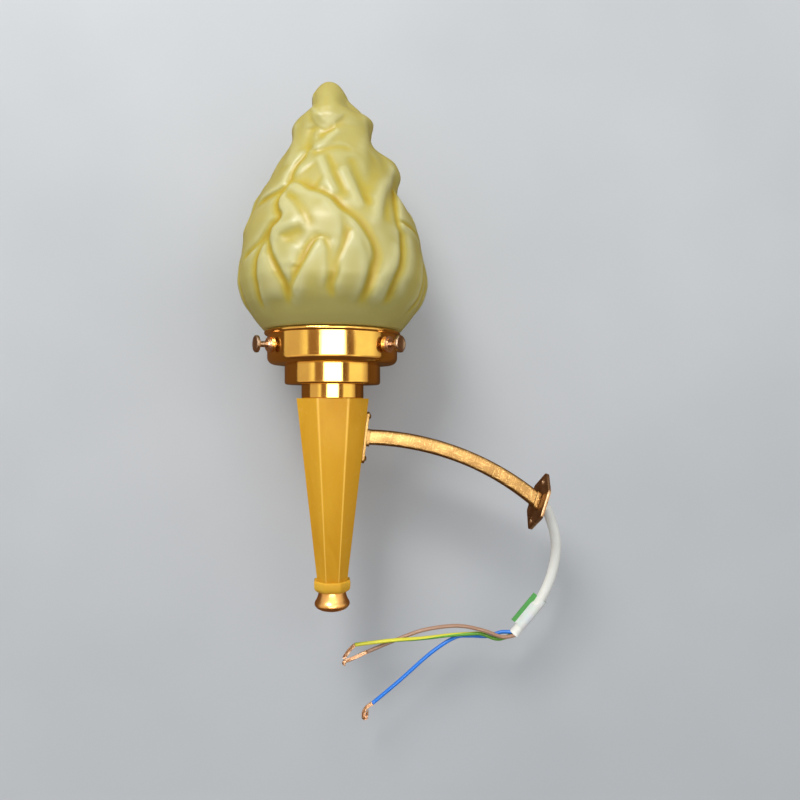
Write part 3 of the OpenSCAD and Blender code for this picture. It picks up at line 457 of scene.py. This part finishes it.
# edges where one leaf lies over the next: side the leaf is on, depth of the groove, rise of the lip,
# breadth, then the edge as (angle, height)
leaf_edges = [
    (1, 0.9, 0.3, 1.8, [(-36, 136), (-30, 129), (-22, 125), (-12, 123), (-1, 125), (10, 129), (21, 135)]),
    (1, 0.9, 0.2, 1.5, [(-26, 107), (-14, 108), (-3, 110), (10, 111), (21, 109)]),
    (-1, 1.44, 0.8, 1.3, [(-28, 112), (-32, 104), (-37, 99), (-39, 93), (-39, 86), (-45, 82), (-55, 80),
     (-65, 79), (-74, 77)]),
    (-1, 1.71, 0.7, 1.7, [(-41, 89), (-27, 86), (-17, 81), (-8, 78), (-1, 74), (5, 68), (11, 63),
     (16, 58), (20, 52), (23, 46), (24, 40), (22, 31), (20, 22), (17, 14), (14, 9)]),
    (-1, 0.63, 0.5, 1.5, [(-2, 75), (2, 69), (5, 62), (6, 55), (6, 47)]),
    (1, 1.17, 0.5, 1, [(10, 56), (8, 49), (5, 42), (2, 34), (1, 27), (-1, 20), (0, 13)]),
    (-1, 0.54, 0.3, 1, [(10, 55), (14, 51), (17, 45), (19, 38), (19, 29), (18, 21), (16, 14)]),
    (1, 1.53, 0.8, 1, [(-7, 50), (-11, 46), (-14, 41), (-17, 35), (-20, 29), (-23, 23), (-25, 18),
     (-24, 13)]),
    (-1, 0.9, 0.4, 1.1, [(-8, 50), (-5, 46), (-3, 40), (-3, 33), (-3, 26), (-5, 18)]),
    (1, 1.71, 0.9, 1.1, [(-36, 81), (-41, 80), (-41, 75), (-38, 68), (-34, 63), (-36, 60), (-40, 57),
     (-41, 51), (-39, 44), (-35, 36), (-31, 29), (-28, 22), (-28, 16), (-29, 9)]),
    (-1, 0.72, 0.4, 1.3, [(-38, 81), (-31, 76), (-24, 70), (-19, 64), (-16, 59), (-14, 53)]),
    (1, 1.26, 0.3, 0.9, [(-42, 56), (-49, 49), (-57, 45), (-68, 41)]),
    (1, 1.44, 0.6, 1.2, [(-42, 53), (-46, 47), (-49, 41), (-50, 34), (-50, 25), (-51, 17), (-53, 9)]),
    (-1, 1.53, 0.5, 1.5, [(45, 61), (45, 52), (43, 43), (41, 35), (37, 27), (35, 19), (33, 11)]),
    (-1, 1.44, 0.6, 0.9, [(46, 65), (52, 63), (60, 62), (68, 59), (74, 55)]),
    (1, 1.8, 0.4, 1.2, [(67, 89), (55, 79), (48, 71), (45, 64), (44, 57)]),
    (-1, 1.17, 0.5, 0.9, [(80, 48), (70, 37), (67, 28), (66, 19), (63, 13), (61, 7)]),
    (-1, 1.1, 0.4, 1.2, [(82, 9), (76, 22), (78, 38), (90, 57)]),
    (-1, 0.9, 0.4, 1.2, [(84, 60), (79, 69), (82, 79), (90, 92)]),
    (-1, 1.1, 0.4, 1.2, [(-98, 9), (-103, 22), (-101, 36), (-90, 54)]),
    (-1, 0.9, 0.4, 1.2, [(-96, 57), (-101, 67), (-98, 78), (-90, 92)]),
]
# soft folds and hollows: rise, half width, then the line as (angle, height)
leaf_folds = [
    (1, 3, [(-73, 158), (-52, 148), (-19, 133), (-12, 129), (-2, 131), (6, 135)]),
    (-0.6, 4, [(-7, 148), (-8, 141), (-6, 135)]),
    (1.6, 7, [(-59, 133), (-66, 128), (-61, 120), (-49, 109), (-48, 99)]),
    (-2, 6, [(-33, 127), (-32, 118), (-30, 108)]),
    (1.7, 3.6, [(-22, 109), (-12, 113), (-3, 119), (7, 125)]),
    (-1.2, 4, [(-20, 118), (-10, 122), (3, 125)]),
    (1, 6, [(65, 143), (52, 133), (53, 127), (40, 117), (27, 108)]),
    (-0.6, 8, [(22, 129), (21, 121), (16, 112)]),
    (1.1, 3.2, [(-15, 105), (-8, 95), (-4, 86), (1, 76)]),
    (1.3, 3.6, [(6, 97), (11, 87), (15, 77), (18, 68)]),
    (-1.2, 7, [(-27, 96), (-19, 89), (-10, 83)]),
    (-1.1, 4, [(-6, 107), (0, 95), (5, 84), (9, 73)]),
    (-1.2, 4.5, [(16, 105), (20, 94), (22, 83), (23, 69)]),
    (1.7, 4.4, [(80, 111), (64, 98), (42, 86), (34, 78), (28, 68), (24, 57)]),
    (-1, 4.5, [(85, 97), (53, 83), (39, 71), (34, 60)]),
    (-1, 6, [(51, 110), (40, 99), (31, 88), (27, 78)]),
    (1.1, 3.2, [(-38, 49), (-34, 54), (-28, 56), (-21, 59)]),
    (-0.6, 4.5, [(-29, 46), (-24, 50), (-18, 53)]),
    (0.9, 6, [(-21, 45), (-24, 38), (-24, 31)]),
    (1, 5, [(41, 48), (37, 39), (32, 31), (28, 24), (26, 17), (22, 11)]),
    (0.7, 4, [(2, 48), (0, 40), (-2, 29), (-3, 18)]),
    (1, 7, [(49, 56), (54, 48), (50, 37), (43, 26), (40, 17)]),
    (0.9, 7, [(-42, 42), (-40, 31), (-38, 22), (-38, 13)]),
]
# the thumb-shaped tip, which comes forward over the leaves in front: height and reach
thumb_line = [(126, 26), (132, 26.5), (138, 25.4), (144, 22.2), (150, 17.9), (155, 13.6), (160, 8.6),
              (163, 5.0), (165, 0.3)]
# neck and lip inside the gallery: radius and height
neck_line = [(36.9, 23.5), (39.6, 25.2), (40.2, 26.6), (40.2, 27.1), (39.7, 27.6), (38.0, 28.4),
             (38.0, 42.3), (39.5, 43.5)]
# the thumb's bearing and half width in degrees, and where it starts
thumb_bearing, thumb_width, thumb_start = -5, 40, 124
# breadth of a groove, and of the two slopes of the lip beside it
groove_side, lip_in, lip_side = 2.8, 2.2, 8.0
# how far a line tells up and down, its breadth to a degree, and the shares of it that fade at its ends
line_reach, degree_breadth, fade_in, fade_out = 20, 0.8, 0.12, 0.16
# a leaf line is full size where the body's reach is this or more
full_reach = 42
flame_columns, flame_rows, inner_sides = 320, 232, 64
flame_height, tip_start, tip_rows = 165, 150, 30
neck_top, inner_top, inner_wall = 0.9, 153, 8
# the tip leans this far away from the wall, from here up
tip_shift, lean_start, lean_height = -2.2, 122, 34
# how wide a hollow is looked for, and the depth that gets the full painted groove shade
groove_blur, groove_full = 26, 1.05


def through(x, xs, ys):
    """A smooth curve through chosen values that never overshoots them."""
    xs, ys = np.array(xs, float), np.array(ys, float)
    if len(xs) < 3:
        return np.interp(x, xs, ys)
    h = np.diff(xs)
    d = np.diff(ys) / h
    m = np.zeros(len(xs))
    same = d[:-1] * d[1:] > 0
    w1, w2 = 2 * h[1:] + h[:-1], h[1:] + 2 * h[:-1]
    inner = np.zeros(len(d) - 1)
    inner[same] = (w1 + w2)[same] / (w1[same] / d[:-1][same] + w2[same] / d[1:][same])
    m[1:-1] = inner
    m[0], m[-1] = d[0], d[-1]
    x = np.clip(x, xs[0], xs[-1])
    i = np.clip(np.searchsorted(xs, x, side="right") - 1, 0, len(h) - 1)
    t = (x - xs[i]) / h[i]
    return (ys[i] * (1 + 2 * t) * (1 - t) ** 2 + m[i] * h[i] * t * (1 - t) ** 2
            + ys[i + 1] * t * t * (3 - 2 * t) + m[i + 1] * h[i] * t * t * (t - 1))


def ease(t):
    t = np.clip(t, 0, 1)
    return t * t * (3 - 2 * t)


def bell(t):
    return np.exp(-t * t)


def turned(a):
    """An angle brought within half a turn of zero."""
    return (a + 180) % 360 - 180


def soften(field, times):
    """Evens out a field of values over the flame, round it and up it."""
    for _ in range(times):
        field = 0.5 * field + 0.25 * (np.roll(field, 1, 1) + np.roll(field, -1, 1))
        inside = field.copy()
        inside[1:-1] = 0.5 * field[1:-1] + 0.25 * (field[2:] + field[:-2])
        field = inside
    return field


def on_line(line, rows):
    """Distance from a line on the flame, the side, and how much of the line counts there."""
    a, h = np.array(line, float).T
    s = np.concatenate([[0], np.cumsum(np.hypot(degree_breadth * np.diff(a), np.diff(h)))])
    u = np.linspace(0, s[-1], 4 * len(line) - 3)
    a, h = through(u, s, a), through(u, s, h)
    per_degree = math.pi / 180 * body[rows]
    far = np.full(per_degree.shape, 1e9)
    side, along = np.ones_like(far), np.zeros_like(far)
    for i in range(len(u) - 1):
        x, y = turned(angle[rows] - a[i]) * per_degree, high[rows] - h[i]
        dx, dy = (a[i + 1] - a[i]) * per_degree, h[i + 1] - h[i]
        t = np.clip((x * dx + y * dy) / (dx * dx + dy * dy), 0, 1)
        d = np.hypot(x - t * dx, y - t * dy)
        closer = d < far
        far = np.where(closer, d, far)
        side = np.where(closer, np.sign(dx * y - dy * x), side)
        along = np.where(closer, (i + t) / (len(u) - 1), along)
    fade = (np.clip(along / fade_in, 0, 1) * np.clip((1 - along) / fade_out, 0, 1)) ** 0.7
    return far / size[rows], side, fade


def rows_near(line):
    """The rows of the flame that a line can reach."""
    low, top = min(h for _, h in line) - line_reach, max(h for _, h in line) + line_reach
    return np.nonzero((heights > low) & (heights < top))[0]


columns = np.arange(flame_columns) * 360.0 / flame_columns
quarter = np.sin(np.linspace(0, math.pi / 2, tip_rows + 1))[:-1]
rounded_top = tip_start + (flame_height - tip_start) * quarter
heights = np.concatenate([np.linspace(0, tip_start, flame_rows - tip_rows, endpoint=False), rounded_top])
angle, high = np.meshgrid(columns, heights)
core_heights, core_reach = zip(*core_line)
body = np.repeat(through(heights, core_heights, core_reach)[:, None], flame_columns, 1)
for a, h, wide, up, down, rise in swells:
    out = float(through(h, core_heights, core_reach)) + max(rise, 0)
    across = bell(math.radians(1) * turned(angle - a) * out / wide)
    upright = bell(abs((high - h) / np.where(high > h, up, down)) ** 1.5)
    body = body + rise * across * upright
thumb = through(high, *zip(*thumb_line))
forward = bell(turned(angle - thumb_bearing) / thumb_width) * ease((high - thumb_start) / 10)
body = body + np.maximum(thumb - body, 0) * forward
size = np.clip(body / full_reach, 0.45, 1)
relief = np.zeros_like(body)
# the front's leaves are pressed in, and then again, mirrored, at the back
for back in (False, True):
    for side, depth, lip, breadth, line in leaf_edges:
        if back:
            side, line = -side, [(180 - a, h) for a, h in line]
        rows = rows_near(line)
        far, on, fade = on_line(line, rows)
        far = far / breadth
        inner_slope = (depth + lip) * ease(far / lip_in) - depth
        leaf = np.where(far < lip_in, inner_slope, lip * bell((far - lip_in) / lip_side))
        relief[rows] += np.where(on * side > 0, leaf, -depth * bell(far / groove_side)) * fade
    for rise, wide, line in leaf_folds:
        if back:
            line = [(180 - a, h) for a, h in line]
        rows = rows_near(line)
        far, on, fade = on_line(line, rows)
        relief[rows] += rise * bell(far / wide) * fade
# the relief runs out just above the neck
relief = soften(relief * size * ease((high - 3) / 12), 2)
reach = body + relief
# a point lower than the relief round it gets painted shade, and a point higher gets a painted highlight
groove_shade_and_ridge_highlight = np.clip((soften(relief, groove_blur) - relief) / groove_full, -1, 1)
lean_out = tip_shift * ease((high - lean_start) / lean_height)

build = bmesh.new()
groove = build.verts.layers.float.new("groove")


def ring_of(radius, bearings, height, shift=0.0):
    """A ring of points round the torch, in millimetres."""
    x = radius * np.cos(np.radians(bearings))
    y = radius * np.sin(np.radians(bearings)) + shift
    return [build.verts.new((a, b, height)) for a, b in zip(x, y)]


def skin(rings, peak, inward=False):
    """Faces from ring to ring and up to a peak, facing outward or inward."""
    sides = len(rings[0])
    for j in range(sides):
        a, b = j, (j + 1) % sides
        if inward:
            a, b = b, a
        for low, up in zip(rings, rings[1:]):
            build.faces.new((low[a], low[b], up[b], up[a]))
        build.faces.new((rings[-1][a], rings[-1][b], peak))


outer = [ring_of(r, columns, z) for r, z in neck_line]
for i, h in enumerate(heights):
    z = rim_height + neck_top + h * (flame_height - neck_top) / flame_height
    ring = ring_of(reach[i], columns, z, lean_out[i])
    for point, share in zip(ring, groove_shade_and_ridge_highlight[i]):
        point[groove] = share
    outer.append(ring)
skin(outer, build.verts.new((0, tip_shift, rim_height + flame_height)))
inner_line = [(35.0, 23.5), (35.0, 42.3)]
for h in range(9, 150, 7):
    inner_line.append((float(through(h, core_heights, core_reach)) - inner_wall, rim_height + neck_top + h))
inner_columns = np.arange(inner_sides) * 360.0 / inner_sides
inner = [ring_of(r, inner_columns, z) for r, z in inner_line]
skin(inner, build.verts.new((0, 0, rim_height + inner_top)), inward=True)
# the foot of the neck joins the two walls
for j in range(flame_columns):
    k = (j + 1) % flame_columns
    a, b = j * inner_sides // flame_columns, k * inner_sides // flame_columns
    corners = [outer[0][k], outer[0][j], inner[0][a]]
    if a != b:
        corners.append(inner[0][b])
    build.faces.new(corners)
for face in build.faces:
    face.smooth = True
build.transform(in_torch @ Matrix.Scale(0.001, 4))
mesh = bpy.data.meshes.new("flame")
build.to_mesh(mesh)
build.free()
flame = bpy.data.objects.new("flame", mesh)
bpy.context.scene.collection.objects.link(flame)

frosted, shader, add, join = new_finish(
    "frosted_glass", Roughness=0.37, IOR=1.5, Subsurface_Weight=0.2, Subsurface_Radius=(0.9, 0.8, 0.3),
    Subsurface_Scale=0.006, Coat_Weight=0.2, Coat_Roughness=0.38)
place = add("TexCoord")
depth = add("Attribute", attribute_name="groove")
shading_spread = add("MapRange", in_1=-1.0, in_2=1.0)
join(depth, shading_spread, "Fac", "Value")
# a paler colour painted on the ridges as highlight, and a deeper honey colour painted down in the grooves as
# shade
tones = ramp_of(add("ValToRGB"), [
    (0.28, (0.58, 0.53, 0.235)), (0.5, (0.495, 0.425, 0.12)), (0.68, (0.52, 0.41, 0.055)),
    (0.96, (0.48, 0.32, 0.014))])
join(shading_spread, tones)
clouds = add("TexNoise", in_Scale=28.0, in_Detail=4.0)
join(place, clouds, "Object", "Vector")
cloud_tone = ramp_of(add("ValToRGB"), [(0.3, (0.90, 0.91, 0.86)), (0.7, (1.0, 1.0, 1.0))])
join(clouds, cloud_tone, "Fac", "Fac")
blend = add("Mix", data_type="RGBA", blend_type="MULTIPLY", in_0=1.0)
join(tones, blend, 0, 6)
join(cloud_tone, blend, 0, 7)
join(blend, shader, 2, "Base Color")
satin = add("TexNoise", in_Scale=700.0, in_Detail=3.0)
join(place, satin, "Object", "Vector")
swell = add("TexNoise", in_Scale=60.0, in_Detail=2.0)
join(place, swell, "Object", "Vector")
fine = add("Bump", in_Strength=0.12, in_Distance=0.0002)
join(satin, fine, "Fac", "Height")
coarse = add("Bump", in_Strength=0.25, in_Distance=0.0008)
join(swell, coarse, "Fac", "Height")
join(fine, coarse, "Normal", "Normal")
join(coarse, shader, "Normal", "Normal")
flame.data.materials.append(frosted)
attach(flame, "sconce")
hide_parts("flame_shade")


# ---------------------------------------------------------------------------
# Gallery. Spun brass cups that step out to the glass, polished and gone warm,
# with a rolled bead at the rim and three bosses soldered round the cup.
crease = math.radians(32)


def dressed(name, finish, bevel=0.0, steps=2):
    """Gives a solid its finish, with its faces joined, softened and smoothed."""
    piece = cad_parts[name]
    piece.data.materials.clear()
    piece.data.materials.append(finish)
    piece.data.polygons.foreach_set("use_smooth", [True] * len(piece.data.polygons))
    joined = piece.modifiers.new("joined", "WELD")
    joined.merge_threshold = 0.000002
    if bevel:
        soft = piece.modifiers.new("softened", "BEVEL")
        soft.width = bevel
        soft.segments = steps
        soft.limit_method = "ANGLE"
        soft.angle_limit = crease
    split = piece.modifiers.new("edges", "EDGE_SPLIT")
    split.split_angle = crease


def spun_metal(name, colour, dark, rough, lathe, tarnish, scratch=0.2):
    """Metal turned round the torch's axis: lathe lines, tarnish in patches, light scratches."""
    finish, shader, add, join = new_finish(name, Metallic=1.0)
    place = add("TexCoord")
    torch = add("Mapping", vector_type="TEXTURE", in_Location=torch_place, in_Rotation=(torch_lean, 0, 0))
    join(place, torch, "Object", "Vector")
    rings = add("Mapping", in_Scale=(30, 30, 2600))
    join(torch, rings, 0, "Vector")
    lines = add("TexNoise", in_Scale=1.0, in_Detail=3.0)
    join(rings, lines, 0, "Vector")
    cloud = add("TexNoise", in_Scale=45.0, in_Detail=6.0, in_Roughness=0.65)
    join(torch, cloud, 0, "Vector")
    stain = ramp_of(add("ValToRGB"), [(0.35, 0.0), (0.75, 1.0)])
    join(cloud, stain, "Fac", "Fac")
    amount = add("Math", operation="MULTIPLY", in_1=tarnish)
    join(stain, amount)
    colours = add("Mix", data_type="RGBA", in_6=(*colour, 1), in_7=(*dark, 1))
    join(amount, colours)
    join(colours, shader, 2, "Base Color")
    gloss = add("MapRange", in_1=0.3, in_2=0.8, in_3=rough * 0.7, in_4=rough * 1.6)
    join(cloud, gloss, "Fac", 0)
    join(gloss, shader, 0, "Roughness")
    streaks = add("Mapping", in_Scale=(350, 350, 60))
    join(torch, streaks, 0, "Vector")
    nicks = add("TexNoise", in_Scale=1.0, in_Detail=2.0)
    join(streaks, nicks, 0, "Vector")
    bump = add("Bump", in_Strength=lathe, in_Distance=0.00004)
    join(lines, bump, "Fac", "Height")
    rub = add("Bump", in_Strength=scratch, in_Distance=0.00006)
    join(nicks, rub, "Fac", "Height")
    join(bump, rub, "Normal", "Normal")
    join(rub, shader, "Normal", "Normal")
    return finish


gallery_brass = spun_metal("gallery_brass", (0.95, 0.59, 0.15), (0.62, 0.28, 0.06),
                           rough=0.10, lathe=0.5, tarnish=0.4, scratch=0.45)
boss_copper = spun_metal("boss_copper", (0.93, 0.64, 0.45), (0.62, 0.38, 0.25),
                         rough=0.32, lathe=0.25, tarnish=0.6)
dressed("gallery_cup", gallery_brass)
dressed("step_cup", gallery_brass)
dressed("neck_collar", gallery_brass)
dressed("screw_bosses", boss_copper, bevel=0.0003)


# ---------------------------------------------------------------------------
# Thumbscrews. Turned bronze coins on thin shanks, dulled by handling, that
# pass through the bosses and hold the glass by its lip.
screw_bronze = spun_metal("screw_bronze", (0.52, 0.36, 0.25), (0.26, 0.16, 0.10),
                          rough=0.34, lathe=0.2, tarnish=0.7, scratch=0.4)
for which in ("front_left", "front_right", "back"):
    dressed("shank_" + which, screw_bronze)
    dressed("head_" + which, screw_bronze, bevel=0.00015)


# ---------------------------------------------------------------------------
# Handle and collar. Cast amber resin, eight flat sides that taper down to a
# turned collar of the same resin, polished, with faint clouds inside.
def cast_resin(name, pale, deep, edge_highlight=None):
    """Resin with clouds in it, and a highlight painted along the edges between its flat sides where a
    highlight colour is given.
    """
    finish, shader, add, join = new_finish(
        name, IOR=1.5, Specular_IOR_Level=0.09, Subsurface_Weight=0.25,
        Subsurface_Radius=(1.0, 0.6, 0.12), Subsurface_Scale=0.004)
    place = add("TexCoord")
    torch = add("Mapping", vector_type="TEXTURE", in_Location=torch_place, in_Rotation=(torch_lean, 0, 0),
                in_Scale=(1, 1, 3.2))
    join(place, torch, "Object", "Vector")
    cloud = add("TexNoise", in_Scale=38.0, in_Detail=5.0, in_Distortion=0.9)
    join(torch, cloud, 0, "Vector")
    tones = ramp_of(add("ValToRGB"), [(0.3, deep), (0.66, pale)])
    join(cloud, tones, "Fac", "Fac")
    if edge_highlight:
        # the eight edges get a painted highlight, lighter than the flat sides
        split = add("SeparateXYZ")
        bearing = add("Math", operation="ARCTAN2")
        eighths = add("Math", operation="MULTIPLY_ADD", in_1=4 / math.pi, in_2=0.5)
        near = add("Math", operation="PINGPONG", in_1=0.5)
        line = add("MapRange", in_1=0.01, in_2=0.045, in_3=0.8, in_4=0.0)
        lit = add("Mix", data_type="RGBA", in_7=(*edge_highlight, 1))
        join(torch, split)
        join(split, bearing, "Y", 0)
        join(split, bearing, "X", 1)
        join(bearing, eighths)
        join(eighths, near)
        join(near, line)
        join(line, lit)
        join(tones, lit, 0, 6)
        join(lit, shader, 2, "Base Color")
    else:
        join(tones, shader, "Color", "Base Color")
    wear = add("TexNoise", in_Scale=240.0, in_Detail=5.0)
    join(place, wear, "Object", "Vector")
    gloss = add("MapRange", in_1=0.3, in_2=0.75, in_3=0.15, in_4=0.32)
    join(wear, gloss, "Fac", 0)
    join(gloss, shader, 0, "Roughness")
    bump = add("Bump", in_Strength=0.12, in_Distance=0.0001)
    join(wear, bump, "Fac", "Height")
    join(bump, shader, "Normal", "Normal")
    return finish


amber = cast_resin("amber", (0.75, 0.395, 0.03), (0.65, 0.305, 0.017), edge_highlight=(0.97, 0.60, 0.11))
amber_collar = cast_resin("amber_collar", (0.80, 0.46, 0.05), (0.70, 0.37, 0.03))
dressed("torch_handle", amber, bevel=0.0007, steps=3)
dressed("foot_collar", amber_collar, bevel=0.0002)


# ---------------------------------------------------------------------------
# Knob. Turned brass with a copper bloom, a rounded rim and a domed end. The
# centre tube ends inside it, so it holds the handle and collar together.
knob_copper = spun_metal("copper_brass", (0.97, 0.54, 0.18), (0.70, 0.33, 0.10),
                         rough=0.3, lathe=0.35, tarnish=0.4)
dressed("finial_knob", knob_copper)


# ---------------------------------------------------------------------------
# Arm, bracket and wall plate. A bent brass tube of box section, worn and
# scratched, on a screwed strip, with a ferrule and a dark plate at the wall.
def brighter(colour, gains):
    """A metal's colour where it is rubbed or cut bright, also used for a painted edge highlight."""
    return (*(min(1, part * gain) for part, gain in zip(colour, gains)), 1)


def worn_metal(name, colour, dark, rough, scratches, patina=0.6):
    """Handled metal: patina in patches, edges lighter as rubbed wear and painted highlight, scratches that
    cross three ways.
    """
    finish, shader, add, join = new_finish(name, Metallic=1.0)
    place = add("TexCoord")
    cloud = add("TexNoise", in_Scale=70.0, in_Detail=8.0, in_Roughness=0.7)
    join(place, cloud, "Object", "Vector")
    stain = ramp_of(add("ValToRGB"), [(0.36, 0.0), (0.66, 1.0)])
    join(cloud, stain, "Fac", "Fac")
    amount = add("Math", operation="MULTIPLY", in_1=patina)
    join(stain, amount)
    colours = add("Mix", data_type="RGBA", in_6=(*colour, 1), in_7=(*dark, 1))
    join(amount, colours)
    # sharp edges are made lighter: partly rubbed wear, partly a painted highlight
    edges = add("NewGeometry")
    edge_wear_and_highlight = ramp_of(add("ValToRGB"), [(0.505, 0.0), (0.56, 1.0)])
    join(edges, edge_wear_and_highlight, "Pointiness", 0)
    shine = add("Mix", data_type="RGBA", in_7=brighter(colour, (1.15, 1.2, 1.25)))
    join(edge_wear_and_highlight, shine)
    join(colours, shine, 2, 6)
    gloss = add("MapRange", in_1=0.3, in_2=0.75, in_3=rough * 0.75, in_4=rough * 1.5)
    join(cloud, gloss, "Fac", 0)
    join(gloss, shader, 0, "Roughness")
    last = None
    for turn, scale in ((0.5, (90, 1400, 160)), (-0.9, (80, 160, 1200)), (0.2, (60, 900, 900))):
        lay = add("Mapping", in_Rotation=(turn, 0.2, 0), in_Scale=scale)
        join(place, lay, "Object", "Vector")
        mark = add("TexNoise", in_Scale=1.0, in_Detail=2.0)
        join(lay, mark, 0, "Vector")
        cut = ramp_of(add("ValToRGB"), [(0.58, 0.0), (0.66, scratches)])
        join(mark, cut, "Fac", "Fac")
        worn = add("Mix", data_type="RGBA", in_7=brighter(colour, (1.9, 2.1, 2.4)))
        join(cut, worn)
        join(shine, worn, 2, 6)
        shine = worn
        bump = add("Bump", in_Strength=scratches, in_Distance=0.00008, invert=True)
        join(cut, bump, "Color", "Height")
        if last:
            join(last, bump, "Normal", "Normal")
        last = bump
    join(shine, shader, 2, "Base Color")
    join(last, shader, "Normal", "Normal")
    return finish


worn_brass = worn_metal("worn_brass", (0.34, 0.195, 0.065), (0.2, 0.105, 0.036), rough=0.33, scratches=0.65)
dark_bronze = worn_metal("dark_bronze", (0.42, 0.25, 0.13), (0.14, 0.075, 0.045),
                         rough=0.34, scratches=0.4, patina=0.7)
dressed("arm_tube", worn_brass)
dressed("arm_bracket", worn_brass, bevel=0.0003)
dressed("bracket_screws", worn_brass, bevel=0.0001)
dressed("plate_ferrule", worn_brass, bevel=0.0005)
dressed("wall_plate", dark_bronze, bevel=0.0005)


# ---------------------------------------------------------------------------
# Inside. The lead through the arm, the centre tube with its cores, the nut,
# washer and earth tag, and the lampholder that the frosted glass hides.
steel = spun_metal("steel", (0.56, 0.54, 0.50), (0.34, 0.32, 0.29), rough=0.3, lathe=0.2, tarnish=0.4)
contact_brass = spun_metal("contact_brass", (0.78, 0.58, 0.25), (0.50, 0.33, 0.13),
                           rough=0.28, lathe=0.2, tarnish=0.4)
holder_white = plastic("holder_white", (0.80, 0.77, 0.70), rough=0.45)
dressed("arm_lead", lead_white)
for piece in ("centre_tube", "gallery_washer", "terminal_screws"):
    dressed(piece, steel, bevel=0.0001)
for piece in ("earth_tag", "gallery_nut", "screw_shell", "centre_contact", "side_contact"):
    dressed(piece, contact_brass, bevel=0.0001)
for piece in ("holder_cap", "holder_skirt", "holder_core"):
    dressed(piece, holder_white, bevel=0.0003)
dressed("inner_cores", plastic("core_inside", (0.30, 0.15, 0.09), rough=0.36))
